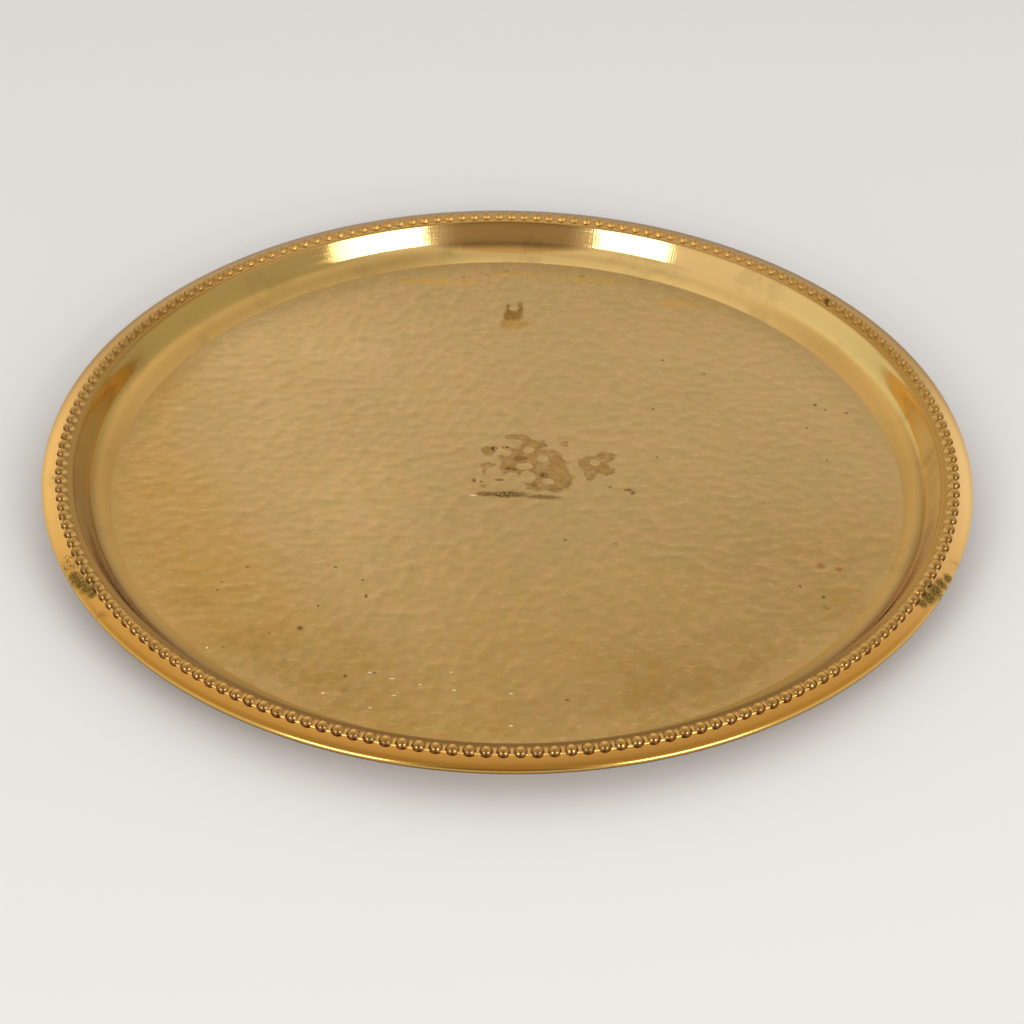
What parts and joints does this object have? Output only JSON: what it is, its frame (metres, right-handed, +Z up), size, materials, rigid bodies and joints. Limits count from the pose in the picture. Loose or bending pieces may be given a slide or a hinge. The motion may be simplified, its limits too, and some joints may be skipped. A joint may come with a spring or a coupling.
{
  "type": "thali plate",
  "caption": "Round hammered brass thali plate with a coved wall, a beaded rim and a curled outer edge.",
  "frame": {"origin": "centre of the flat underside that the plate rests on", "axes": "+Z up along the plate's axis of symmetry, from the underside towards the beads; X and Y lie in the underside's plane"},
  "size_m": [0.305, 0.305, 0.0137],
  "materials": {
    "hammered_brass": "hand-hammered satin floor, polished wall and rim, light tarnish and wear",
    "border_brass": "polished beads with darker tarnish between them",
    "wire_brass": "plain drawn wire"
  },
  "bodies": {
    "root": {"plate_body": "hammered_brass", "beaded_border": "border_brass", "edge_wire": "wire_brass"}
  },
  "joints": []
}
